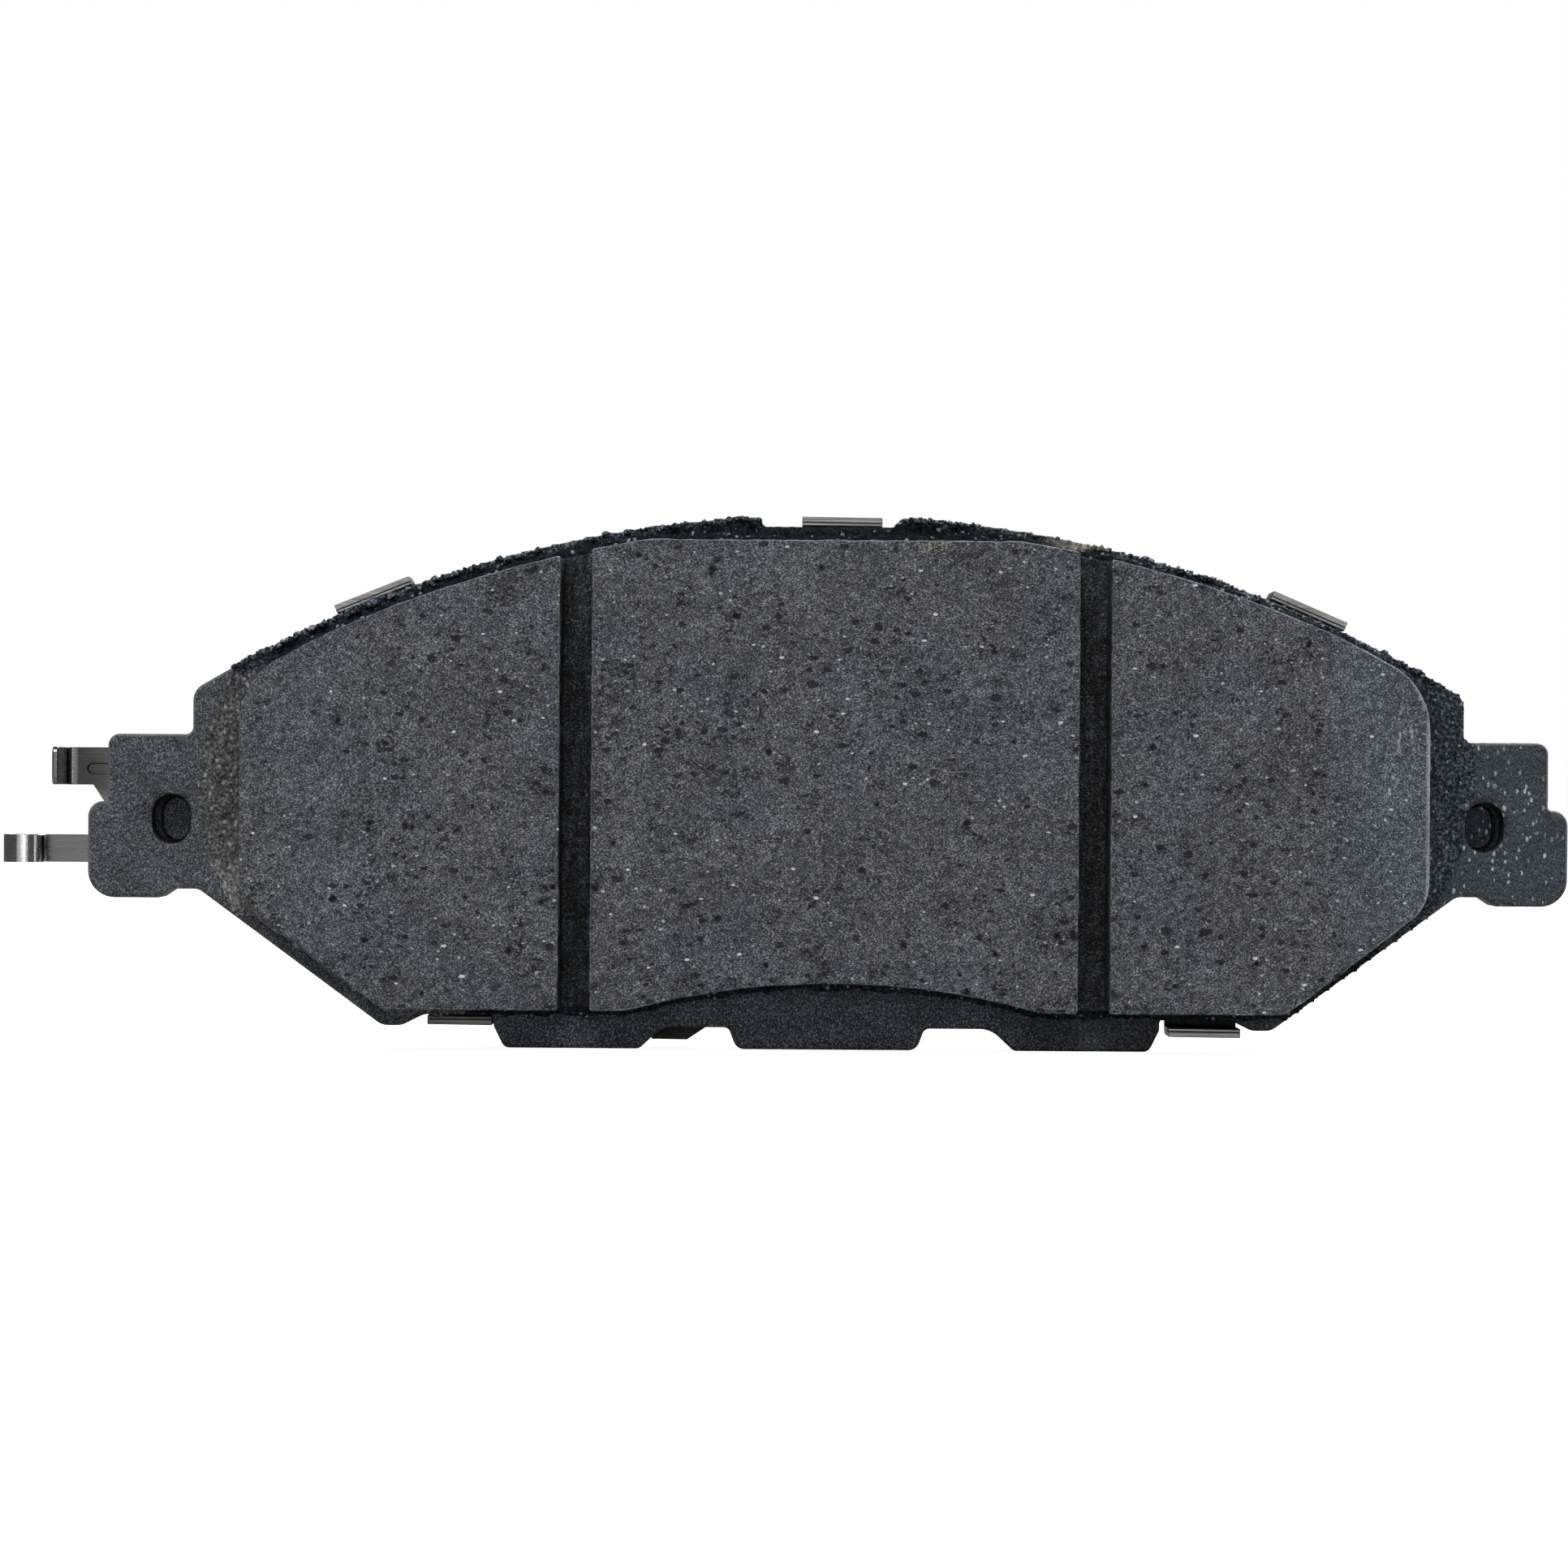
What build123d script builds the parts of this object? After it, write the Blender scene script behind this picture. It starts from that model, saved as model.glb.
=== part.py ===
from build123d import *
import math
import os

# A disc brake pad: a blanked steel backing plate, a friction block moulded on its
# rotor side, a clip-on noise shim hooked over its caliper side, and a spring steel
# wear indicator staked to one ear.
#
# Millimetres. X runs along the pad, +Y from the rotor towards the caliper piston and
# +Z outwards from the axle. The origin is midway between the ears, at half the
# thickness of the backing plate. Outlines are drawn with x and z as their two axes.

# ---- backing plate ----
ear_span = 164.4           # over both ears, below their steps
plate_thickness = 6.0
crown_top = 29.9           # top of the curved edge, at mid length
shoulder_top = 10.0        # height of the curved edge where it meets the plate's side
bottom_edge = -27.1        # straight lower edge
lug_bottom = -29.5         # feet of the three lower lugs
ear_reach = 11.6           # how far an ear stands out from the plate's side
ear_top = 5.1
ear_step = -2.4            # the ear is wider below this height
ear_step_width = 2.2
ear_bottom = -13.1
ear_heel_width = 8.0       # flat under the ear
ear_heel_rise = 1.0        # from that flat up to the start of the slope
ear_heel_run = 1.5
slope_angle = 36.2         # lower corners of the plate, from the horizontal
slope_inset = 0.7          # start of the slope, from the plate's side
centre_lug_half = 10.0
centre_lug_flank = 0.9     # run of each flank of the centre lug
outer_lug_inset = 13.6     # from the foot of the slope
outer_lug_length = 15.0
outer_lug_inner_flank = 2.6
outer_lug_outer_flank = 1.2
front_roll = 0.5           # rounded edge left by the blanking punch
back_break = 0.4           # small chamfer on the far side
key_hole_diameter = 9.0    # holes that the friction mix flows into
key_hole_places = [(20.0, 4.0), (46.0, -4.0)]
key_hole_shrink = 0.03

# ---- half-punched ovals on the ears ----
oval_centre_inset = 9.3    # from the ear's outer face
oval_centre_z = -4.3
oval_width = 4.4
oval_height = 5.6
oval_depth = 3.5           # to the bottom of the trench round the punched slug
slug_shrink = 0.42         # the slug's face is smaller than the pocket, per side
slug_rise = 0.55
slug_round = 0.12
boss_shrink = 0.2          # the boss is smaller than the pocket, per side
boss_height = 1.5
stake_spread = 0.7         # peened rim over the wear indicator, per side
stake_thickness = 0.7

# ---- friction block and its underlayer ----
friction_offset = 0.65     # the block sits this far off the plate's middle
friction_side_margin = 5.3
friction_crown_margin = 1.8
friction_top_margin = 3.35  # below the crown, where the block's top is cut flat
friction_bottom_margin = 2.3
friction_slope_margin = 2.05
friction_thickness = 9.0
friction_top_radius = 8.0
friction_side_radius = 5.0
friction_foot_radius = 2.5
arch_half = 22.6
arch_rise = 3.1
arch_blend = 9.0
groove_spacing = 56.6      # between the middles of the two grooves
groove_width = 3.5
groove_floor = 1.0         # friction mix left under a groove
chamfer_length = 10.8
chamfer_depth = 4.0
underlayer_thickness = 1.4
underlayer_lip = 0.9       # how far it spreads beyond the block
bond_thickness = 0.1

# ---- noise shim: a rubber coated inner sheet under a stainless outer sheet ----
coating_thickness = 0.075
inner_core_thickness = 0.25
outer_shim_thickness = 0.6
shim_crown_margin = 1.8
shim_side_margin = 8.6
shim_slope_margin = 2.4
shim_bottom_margin = 1.2
shim_corner_radius = 5.0
outer_shim_inset = 0.9     # the coated sheet shows around the outer one
window_length = 24.0
window_height = 9.0
window_middle_x = 30.0
window_middle_z = 2.0
tongue_left = -20.4        # tongue of the coated sheet, seen between two lugs
tongue_right = -13.7
tongue_bottom = -28.95
tongue_slant = 2.7
shim_drift = 0.6           # degrees that the loose shim has walked round the crown

# ---- hook tabs of the shim, placed as if it hadn't drifted ----
tab_end_setback = 0.6      # from the plate's rotor side
tab_bend_radius = 0.35     # inside the innermost layer
tab_root = 7.0             # how far a tab's root reaches into the sheet
crown_tab_width = 8.9
crown_tab_inset = 18.8     # from the plate's side
crown_tab_gap = 0.15       # to the plate's curved edge, at the tab's middle
centre_seat_half = 7.0     # seat of the centre tab in the plate's crown
centre_seat_depth = 1.45
centre_seat_flare = 1.2
centre_tab_gap = 0.25
bottom_seat_depth = 1.25   # seats of the two bottom tabs
bottom_seat_floor_inset = 4.7    # from the foot of the slope to the seat's floor
bottom_seat_ramp = 2.5
bottom_tab_clearance = 0.127    # to its seat, when the shim walks round the crown
bottom_tab_wall_gap = 0.2  # to the outer lug, when the shim walks towards it
bottom_tab_inset = 4.2     # from the foot of the slope to the tab's outer end

# ---- wear indicator ----
indicator_thickness = 0.6
indicator_base_inset = 1.0   # from the ear's outer face
indicator_base_length = 14.6
finger_top = 3.6
finger_width = 4.2
finger_reach = 3.7         # of the bent finger beyond the ear's step
finger_tip_y = -4.8
finger_bend_radius = 0.5
finger_corner = 0.9
finger_brace = 1.3         # run of the slanted edge under the finger
finger_brace_drop = 1.95
spring_bottom = -9.3
spring_width = 3.1
curl_radius = 2.35         # outside of the rolled end
curl_reach = 7.65          # from the ear's outer face to the curl's middle
curl_sweep = 258.0
bead_width = 1.2           # stiffening bead along the finger's arm
bead_height = 0.3
bead_length = 9.6
bead_reach = 1.95          # beyond the outer end of the indicator's base
bead_drop = 2.4            # below the finger's top edge
indicator_corner = 1.2
stake_clearance = 0.05

# ---- worked out from the sizes above ----
front_y = -plate_thickness / 2
back_y = plate_thickness / 2
ear_half = ear_span / 2
side_half = ear_half - ear_reach
crown_drop = crown_top - shoulder_top
crown_radius = (side_half ** 2 + crown_drop ** 2) / (2 * crown_drop)
crown_centre_z = crown_top - crown_radius
slope_run_per_rise = 1 / math.tan(math.radians(slope_angle))
slope_start_z = ear_bottom + ear_heel_rise
slope_start = side_half - slope_inset
slope_foot = slope_start - (slope_start_z - bottom_edge) * slope_run_per_rise
oval_centre_x = ear_half - oval_centre_inset
friction_back_y = front_y - bond_thickness - underlayer_thickness
friction_face_y = friction_back_y - friction_thickness
inner_shim_thickness = inner_core_thickness + 2 * coating_thickness
tab_end_y = front_y + tab_end_setback
centre_seat_z = crown_top - centre_seat_depth
bottom_seat_z = bottom_edge + bottom_seat_depth
outer_lug_outer = slope_foot - outer_lug_inset
outer_lug_inner = outer_lug_outer - outer_lug_length
outer_lug_foot = outer_lug_outer + outer_lug_outer_flank
bottom_seat_floor_end = slope_foot - bottom_seat_floor_inset
bottom_tab_end = slope_foot - bottom_tab_inset
bottom_tab_gap = bottom_tab_clearance + bottom_tab_end * math.sin(math.radians(shim_drift))
crown_tab_x = side_half - crown_tab_inset
indicator_base_outer = ear_half - indicator_base_inset
indicator_base_inner = indicator_base_outer - indicator_base_length
crown_axis = Axis((0, 0, crown_centre_z), (0, 1, 0))


def slab(outline, near, far):
    """An outline in x and z, solid between two y planes."""
    return extrude(Plane.XZ.offset(-far) * outline, far - near)


def column(section, low, high):
    """A section in x and y, solid between two heights."""
    return extrude(Plane.XY.offset(low) * section, high - low)


def round_corners(outline, corners):
    """Round the outline's corners nearest to each (x, z, radius)."""
    for x, z, radius in corners:
        nearest = outline.vertices().sort_by_distance(Vector(x, z, 0))[0]
        outline = fillet(nearest, radius)
    return outline


def both_sides(corners):
    return [(side * x, z, radius) for x, z, radius in corners for side in (1, -1)]


def crowned_outline(half, crown_margin, slope_margin, bottom):
    """The plate's body shape, set in by the given margins, with sharp corners."""
    radius = crown_radius - crown_margin
    shoulder = crown_centre_z + math.sqrt(radius ** 2 - half ** 2)
    slope_lift = slope_margin / math.cos(math.radians(slope_angle))
    foot = slope_foot + (bottom - bottom_edge - slope_lift) * slope_run_per_rise
    heel = bottom_edge + (half - slope_foot) / slope_run_per_rise + slope_lift
    crown = ThreePointArc((-half, shoulder), (0, crown_centre_z + radius), (half, shoulder))
    rest = Polyline((half, shoulder), (half, heel), (foot, bottom), (-foot, bottom),
                    (-half, heel), (-half, shoulder))
    corners = {"shoulder": (half, shoulder), "heel": (half, heel), "foot": (foot, bottom)}
    return make_face(crown + rest), corners


def plate_body_outline():
    """The backing plate's outline with its ears and lugs, before the tab seats."""
    upper_half = ear_half - ear_step_width
    heel_inner = ear_half - ear_heel_width
    lug_root_inner = outer_lug_inner - outer_lug_inner_flank
    # x, z and radius of each corner, from the right shoulder down and round to the middle
    corners = [
        (side_half, shoulder_top, 2.0), (side_half, ear_top, 0.8), (upper_half, ear_top, 1.3),
        (upper_half, ear_step, 0.4), (ear_half, ear_step, 1.7), (ear_half, ear_bottom, 3.0),
        (heel_inner, ear_bottom, 0.8), (heel_inner - ear_heel_run, slope_start_z, 0.8),
        (slope_start, slope_start_z, 1.5), (slope_foot, bottom_edge, 2.0),
        (outer_lug_foot, bottom_edge, 0), (outer_lug_outer, lug_bottom, 1.0),
        (outer_lug_inner, lug_bottom, 1.0), (lug_root_inner, bottom_edge, 3.0),
        (centre_lug_half + centre_lug_flank, bottom_edge, 0.8),
        (centre_lug_half, lug_bottom, 1.3),
    ]
    right = [(x, z) for x, z, _ in corners]
    left = [(-x, z) for x, z in reversed(right)]
    crown = ThreePointArc(left[-1], (0, crown_top), right[0])
    outline = make_face(crown + Polyline(*right, *left))
    return round_corners(outline, both_sides([spot for spot in corners if spot[2]]))


def centre_seat():
    """The seat of the centre tab, open well above the crown."""
    above = crown_top + centre_seat_depth
    mouth = centre_seat_half + 2 * centre_seat_flare
    return make_face(Polyline(
        (-centre_seat_half, centre_seat_z), (centre_seat_half, centre_seat_z),
        (mouth, above), (-mouth, above), close=True))


def bottom_seat(side):
    """The seat of a bottom tab, from the foot of the outer lug to a ramp."""
    below = bottom_edge - bottom_seat_depth
    ramp_end = bottom_seat_floor_end + 2 * bottom_seat_ramp
    return make_face(Polyline(
        (side * outer_lug_foot, bottom_seat_z), (side * bottom_seat_floor_end, bottom_seat_z),
        (side * ramp_end, below), (side * outer_lug_foot, below), close=True))


def plate_outline():
    outline = plate_body_outline() - centre_seat() - bottom_seat(-1) - bottom_seat(1)
    mouth = centre_seat_half + centre_seat_flare
    corners = [(mouth, crown_top, 1.0), (centre_seat_half, centre_seat_z, 0.6),
               (outer_lug_foot, bottom_edge, 1.0), (outer_lug_foot, bottom_seat_z, 0.5),
               (bottom_seat_floor_end, bottom_seat_z, 2.0),
               (bottom_seat_floor_end + bottom_seat_ramp, bottom_edge, 2.0)]
    return round_corners(outline, both_sides(corners))


def oval(shrink):
    size = (oval_height - 2 * shrink, oval_width - 2 * shrink)
    return Rotation(0, 0, 90) * SlotOverall(*size)


def at_ovals():
    return [Location((side * oval_centre_x, oval_centre_z)) for side in (-1, 1)]


def key_holes(diameter):
    places = [(side * x, z) for x, z in key_hole_places for side in (1, -1)]
    return [Location(place) * Circle(diameter / 2) for place in places]


def rim_edges(solid, y):
    """The outer rim of the face that lies in the given y plane."""
    face = solid.faces().filter_by(Axis.Y).sort_by(lambda f: abs(f.center().Y - y))[0]
    return face.outer_wire().edges()


def backing_plate():
    outline = plate_outline()
    plate = slab(outline, front_y, back_y)
    plate = fillet(rim_edges(plate, front_y), front_roll)
    plate = chamfer(rim_edges(plate, back_y), back_break)
    for hole in key_holes(key_hole_diameter):
        plate -= slab(hole, front_y - 1, back_y + 1)
    floor_y = front_y + oval_depth
    for place in at_ovals():
        plate -= slab(place * oval(0), front_y - 1, floor_y)
        slug = slab(place * oval(slug_shrink), floor_y - slug_rise, floor_y)
        plate += fillet(rim_edges(slug, floor_y - slug_rise), slug_round)
        plate += slab(place * oval(boss_shrink), back_y, back_y + boss_height)
    head_y = back_y + indicator_thickness
    head = slab(at_ovals()[0] * oval(boss_shrink - stake_spread), head_y, head_y + stake_thickness)
    return plate + head


def friction_outline():
    half = side_half - friction_side_margin
    bottom = bottom_edge + friction_bottom_margin
    block, corners = crowned_outline(half, friction_crown_margin, friction_slope_margin, bottom)
    top = crown_top - friction_top_margin
    block -= Location((0, top + crown_top)) * Rectangle(2 * half, 2 * crown_top)
    arch_radius = (arch_half ** 2 + arch_rise ** 2) / (2 * arch_rise)
    block -= Location((0, bottom + arch_rise - arch_radius)) * Circle(arch_radius)
    roundings = [(*corners["shoulder"], friction_top_radius),
                 (*corners["heel"], friction_side_radius),
                 (*corners["foot"], friction_foot_radius),
                 (arch_half, bottom, arch_blend)]
    block = round_corners(block, both_sides(roundings))
    return Location((friction_offset, 0)) * block


def underlayer_outline():
    return offset(friction_outline(), underlayer_lip)


def bond_film():
    film = slab(underlayer_outline(), front_y - bond_thickness, front_y)
    for hole in key_holes(key_hole_diameter):
        film -= slab(hole, front_y - 1, front_y + 1)
    return film


def underlayer():
    layer = slab(underlayer_outline(), friction_back_y, front_y - bond_thickness)
    for plug in key_holes(key_hole_diameter - 2 * key_hole_shrink):
        layer += slab(plug, front_y - bond_thickness, back_y - back_break)
    return layer


def friction_block():
    block = slab(friction_outline(), friction_face_y, friction_back_y)
    half = side_half - friction_side_margin
    groove_depth = friction_thickness - groove_floor
    for side in (-1, 1):
        middle = friction_offset + side * groove_spacing / 2
        cut = Rectangle(groove_width, 2 * groove_depth)
        block -= column(Location((middle, friction_face_y)) * cut, lug_bottom, crown_top)
        edge = friction_offset + side * half
        wedge = make_face(Polyline((edge, friction_face_y), (edge, friction_face_y + chamfer_depth),
                                   (edge - side * chamfer_length, friction_face_y), close=True))
        block -= column(wedge, lug_bottom, crown_top)
    return block


def shim_sheet(inset, near, far):
    """The flat of one shim layer."""
    half = side_half - shim_side_margin - inset
    bottom = bottom_edge + shim_bottom_margin + inset
    outline, corners = crowned_outline(half, shim_crown_margin + inset,
                                       shim_slope_margin + inset, bottom)
    radius = shim_corner_radius - inset
    outline = round_corners(outline, both_sides([(*spot, radius) for spot in corners.values()]))
    return slab(outline, near, far)


def hook_tab(width, edge_z, inner, outer):
    """One layer's tab, upright at mid length, from its root round the bend to its end.

    inner and outer are the layer's distances from the plate's caliper face, and
    edge_z is the height of the tab face nearest to the plate's edge.
    """
    bend = tab_bend_radius
    root = edge_z - tab_root
    centre = (back_y - bend, edge_z - bend)
    section = make_face(
        Polyline((back_y + inner, edge_z - bend), (back_y + inner, root),
                 (back_y + outer, root), (back_y + outer, edge_z - bend))
        + CenterArc(centre, bend + outer, 0, 90)
        + Polyline((back_y - bend, edge_z + outer), (tab_end_y, edge_z + outer),
                   (tab_end_y, edge_z + inner), (back_y - bend, edge_z + inner))
        + CenterArc(centre, bend + inner, 0, 90))
    return extrude(Plane.YZ.offset(-width / 2) * section, width)


def hook_tabs(inner, outer):
    """The five tabs of one layer."""
    lean = math.degrees(math.asin(crown_tab_x / crown_radius))
    crown_tab = hook_tab(crown_tab_width, crown_top + crown_tab_gap, inner, outer)
    tabs = [crown_tab.rotate(crown_axis, side * lean) for side in (-1, 1)]
    tabs.append(hook_tab(crown_tab_width, centre_seat_z + centre_tab_gap, inner, outer))
    travel = (bottom_edge - crown_centre_z) * math.sin(math.radians(shim_drift))
    for side, room in ((-1, travel), (1, 0)):
        near_end = outer_lug_foot + bottom_tab_wall_gap + room
        middle = side * (near_end + bottom_tab_end) / 2
        tab = hook_tab(bottom_tab_end - near_end, bottom_tab_gap - bottom_seat_z, inner, outer)
        tabs.append(Location((middle, 0, 0)) * tab.rotate(Axis.Y, 180))
    return tabs


def drifted(layer):
    return layer.rotate(crown_axis, shim_drift)


def shim_layer(inset, inner, outer):
    layer = shim_sheet(inset, back_y + inner, back_y + outer)
    for tab in hook_tabs(inner, outer):
        layer += tab
    return layer


def tongue(inner, outer):
    root = bottom_edge + shim_bottom_margin + 1
    shape = make_face(Polyline(
        (tongue_left, root), (tongue_right, root), (tongue_right, bottom_edge),
        (tongue_right - tongue_slant, tongue_bottom), (tongue_left, tongue_bottom), close=True))
    return slab(shape, back_y + inner, back_y + outer)


def coated_layer(inner, outer):
    return drifted(shim_layer(0, inner, outer) + tongue(inner, outer))


def inner_shim_front_coating():
    return coated_layer(0, coating_thickness)


def inner_shim_core():
    return coated_layer(coating_thickness, coating_thickness + inner_core_thickness)


def inner_shim_back_coating():
    return coated_layer(coating_thickness + inner_core_thickness, inner_shim_thickness)


def outer_shim():
    sheet = shim_layer(outer_shim_inset, inner_shim_thickness,
                       inner_shim_thickness + outer_shim_thickness)
    for side in (-1, 1):
        window = Location((side * window_middle_x, window_middle_z)) * SlotOverall(
            window_length, window_height)
        sheet -= slab(window, back_y, back_y + 2 * outer_shim_thickness + inner_shim_thickness)
    return drifted(sheet)


def indicator_finger():
    """The arm that runs out behind the ear and turns towards the rotor."""
    tip_x = -(ear_half + finger_reach)
    near, far = back_y, back_y + indicator_thickness
    bend = finger_bend_radius
    wall = indicator_thickness
    centre = (tip_x + wall + bend, near - bend)
    section = make_face(
        Polyline((centre[0], near), (-indicator_base_outer, near), (-indicator_base_outer, far),
                 (centre[0], far))
        + CenterArc(centre, bend + wall, 90, 90)
        + Polyline((tip_x, centre[1]), (tip_x, finger_tip_y), (tip_x + wall, finger_tip_y),
                   (tip_x + wall, centre[1]))
        + CenterArc(centre, bend, 90, 90))
    finger = column(section, finger_top - finger_width, finger_top)
    tip_corners = finger.edges().filter_by(Axis.X).group_by(Axis.Y)[0]
    return fillet(tip_corners, finger_corner)


def indicator_spring():
    """The leaf that runs out behind the ear and ends in a rolled nose."""
    wall = indicator_thickness
    middle = (-(ear_half + curl_reach), back_y + wall - curl_radius)
    nose_end = 90 + curl_sweep
    end_x = middle[0] + (curl_radius - wall) * math.cos(math.radians(nose_end))
    end_y = middle[1] + (curl_radius - wall) * math.sin(math.radians(nose_end))
    lip_x = middle[0] + curl_radius * math.cos(math.radians(nose_end))
    lip_y = middle[1] + curl_radius * math.sin(math.radians(nose_end))
    section = make_face(
        Polyline((middle[0], back_y), (-indicator_base_outer, back_y),
                 (-indicator_base_outer, back_y + wall), (middle[0], back_y + wall))
        + CenterArc(middle, curl_radius, 90, curl_sweep)
        + Polyline((lip_x, lip_y), (end_x, end_y))
        + CenterArc(middle, curl_radius - wall, 90, curl_sweep))
    return column(section, spring_bottom, spring_bottom + spring_width)


def wear_indicator():
    near, far = back_y, back_y + indicator_thickness
    finger_bottom = finger_top - finger_width
    left, right = -indicator_base_outer, -indicator_base_inner
    base = make_face(Polyline(
        (right, spring_bottom), (right, finger_top), (left - finger_brace, finger_top),
        (left - finger_brace, finger_bottom), (left, finger_bottom - finger_brace_drop),
        (left, spring_bottom), close=True))
    base = round_corners(base, [(right, spring_bottom, indicator_corner),
                                (right, finger_top, indicator_corner)])
    plate = slab(base, near, far) + indicator_finger() + indicator_spring()
    bead = Location((left - bead_reach + bead_length / 2, finger_top - bead_drop)) * SlotOverall(
        bead_length, bead_width)
    plate += slab(bead, far, far + bead_height)
    plate -= slab(bead, near - 1, near + bead_height)
    plate -= slab(at_ovals()[0] * oval(boss_shrink - stake_clearance), near - 1, far + 1)
    return plate


makers = [
    backing_plate, bond_film, underlayer, friction_block,
    inner_shim_front_coating, inner_shim_core, inner_shim_back_coating, outer_shim,
    wear_indicator,
]

os.makedirs("parts", exist_ok=True)
for maker in makers:
    export_step(maker(), f"parts/{maker.__name__}.step")
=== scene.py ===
import math
import random

import bmesh
import bpy
from mathutils import Matrix, Vector, noise
from mathutils.bvhtree import BVHTree


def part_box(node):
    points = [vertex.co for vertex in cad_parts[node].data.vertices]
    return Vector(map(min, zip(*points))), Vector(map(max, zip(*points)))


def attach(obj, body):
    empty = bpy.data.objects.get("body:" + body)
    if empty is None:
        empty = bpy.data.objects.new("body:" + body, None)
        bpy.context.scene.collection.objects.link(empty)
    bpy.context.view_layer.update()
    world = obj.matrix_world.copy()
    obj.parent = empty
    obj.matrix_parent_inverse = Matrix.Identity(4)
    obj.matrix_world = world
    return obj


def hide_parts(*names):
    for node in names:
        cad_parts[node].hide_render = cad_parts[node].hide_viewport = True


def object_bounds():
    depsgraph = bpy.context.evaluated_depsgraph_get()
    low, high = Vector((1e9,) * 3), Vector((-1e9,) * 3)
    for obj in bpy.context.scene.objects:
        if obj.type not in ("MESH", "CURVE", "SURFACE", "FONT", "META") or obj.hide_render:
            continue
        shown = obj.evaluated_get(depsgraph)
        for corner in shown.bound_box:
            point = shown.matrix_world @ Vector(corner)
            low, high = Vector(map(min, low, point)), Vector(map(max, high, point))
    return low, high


# A disc brake pad, shown upright with its friction face towards -Y. Sizes are metres,
# written as millimetres times MM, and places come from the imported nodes.

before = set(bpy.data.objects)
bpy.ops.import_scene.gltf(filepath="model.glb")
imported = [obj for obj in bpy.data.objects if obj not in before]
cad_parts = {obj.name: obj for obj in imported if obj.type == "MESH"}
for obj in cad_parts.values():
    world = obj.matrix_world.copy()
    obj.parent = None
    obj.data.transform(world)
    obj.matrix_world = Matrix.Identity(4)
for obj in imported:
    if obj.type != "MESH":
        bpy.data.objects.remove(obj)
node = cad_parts
cad_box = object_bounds()

MM = 0.001
plate_low, plate_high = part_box("backing_plate")
block_low, block_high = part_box("friction_block")
layer_low, layer_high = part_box("underlayer")
plate_front = plate_low.y
block_middle_x = (block_low.x + block_high.x) / 2
groove_spacing = 56.6 * MM
groove_width = 3.5 * MM
chamfer_length = 10.8 * MM
chamfer_depth = 4 * MM
crown_radius = 135.2 * MM
crown_centre = Vector((0, 0, 29.9 * MM - crown_radius))

# The half-punched oval on each ear, in millimetres: its place and half its size.
oval_x, oval_z = 72.9, -4.3
oval_half_width, oval_half_height = 2.35, 2.95

# How many pits the block's face is tried for, how many crumbs lie on the flash, and the
# mesh pitches of the block's skin, the lip, the flash and the plate's edge.
pit_tries = 340
crumb_count = 620
skin_pitch = 0.52 * MM
lip_pitch = 0.6 * MM
flash_pitch = 0.42 * MM
plate_pitch = 2.4 * MM


def clamped(value):
    """A value held between 0 and 1."""
    return max(0.0, min(1.0, value))


# ---- shader helpers ----
def put(tree, kind, inputs=None, **settings):
    """Add a shader node with its settings, and set or link its inputs."""
    made = tree.nodes.new("ShaderNode" + kind)
    for name, value in settings.items():
        setattr(made, name, value)
    for name, value in (inputs or {}).items():
        if isinstance(value, bpy.types.NodeSocket):
            tree.links.new(value, made.inputs[name])
        else:
            made.inputs[name].default_value = value
    return made


def math_of(tree, operation, *values, clamp=False):
    """The result of a Math node on numbers or sockets."""
    return put(tree, "Math", dict(enumerate(values)), operation=operation,
               use_clamp=clamp).outputs[0]


def band(tree, value, low, high, out_low=0.0, out_high=1.0):
    """A value's smooth step from out_low at low to out_high at high."""
    return put(tree, "MapRange", {"Value": value, "From Min": low, "From Max": high,
                                  "To Min": out_low, "To Max": out_high},
               interpolation_type="SMOOTHSTEP").outputs["Result"]


def blended(tree, share, first, second, blend_type="MIX"):
    """A colour between two, by a share from 0 to 1."""
    made = put(tree, "Mix", {0: share}, data_type="RGBA", blend_type=blend_type)
    for number, value in ((6, first), (7, second)):
        if isinstance(value, bpy.types.NodeSocket):
            tree.links.new(value, made.inputs[number])
        else:
            made.inputs[number].default_value = (*value, 1)
    return made.outputs[2]


def tinted(tree, colour, factors):
    """A colour multiplied by factors for its red, green and blue."""
    return blended(tree, 1.0, colour, factors, "MULTIPLY")


def noise_of(tree, place, scale, detail=2.0, roughness=0.5):
    """A noise texture at a place."""
    return put(tree, "TexNoise", {"Vector": place, "Scale": scale, "Detail": detail,
                                  "Roughness": roughness})


def stretched(tree, place, scale):
    """A place scaled along each axis."""
    return put(tree, "Mapping", {"Vector": place, "Scale": scale}).outputs["Vector"]


def new_group(name, inputs, outputs):
    """A shader node group with the given sockets, and its input and output nodes."""
    tree = bpy.data.node_groups.new(name, "ShaderNodeTree")
    for label, start in inputs.items():
        kind = "NodeSocketVector" if start is None else "NodeSocketFloat"
        socket = tree.interface.new_socket(label, in_out="INPUT", socket_type=kind)
        if start is not None:
            socket.default_value = start
    for label in outputs:
        tree.interface.new_socket(label, in_out="OUTPUT", socket_type="NodeSocketFloat")
    return tree, tree.nodes.new("NodeGroupInput").outputs, tree.nodes.new("NodeGroupOutput").inputs


def use(tree, group, inputs):
    """Place a shader node group in a material, with its own values."""
    made = tree.nodes.new("ShaderNodeGroup")
    made.node_tree = group
    for name, value in inputs.items():
        if isinstance(value, bpy.types.NodeSocket):
            tree.links.new(value, made.inputs[name])
        else:
            made.inputs[name].default_value = value
    return made.outputs


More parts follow.
